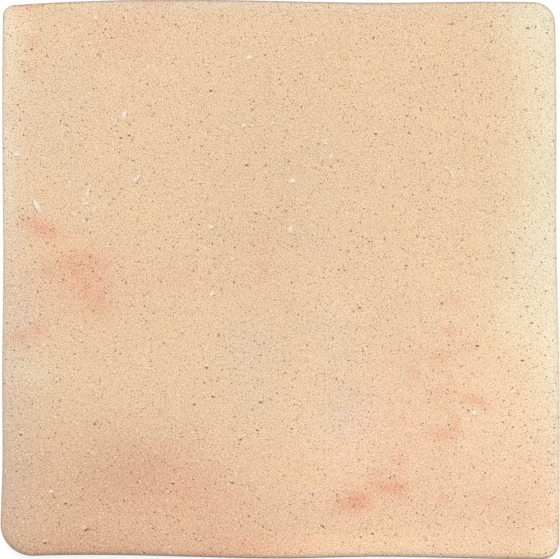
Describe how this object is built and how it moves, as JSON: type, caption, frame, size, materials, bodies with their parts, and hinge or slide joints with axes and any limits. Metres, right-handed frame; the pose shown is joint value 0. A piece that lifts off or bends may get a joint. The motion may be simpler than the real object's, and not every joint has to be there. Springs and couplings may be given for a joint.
{
  "type": "porcelain tile",
  "caption": "Square porcelain floor tile in a handmade terracotta look, with a soft cushion edge, uneven outline, unlike rounded corners and a keyed underside for adhesive.",
  "frame": {"origin": "in the plane that the tile rests on, under the middle of its overall box", "axes": "+Z out of the face, +X to the right along the front edge, +Y towards the back edge, which is the top of the picture"},
  "size_m": [0.2, 0.2001, 0.01],
  "materials": {
    "fired_body": "matt, fine sandy grain, pale peach and ochre with soft rust-pink blushes"
  },
  "bodies": {
    "root": {"tile": "fired_body"}
  },
  "joints": []
}
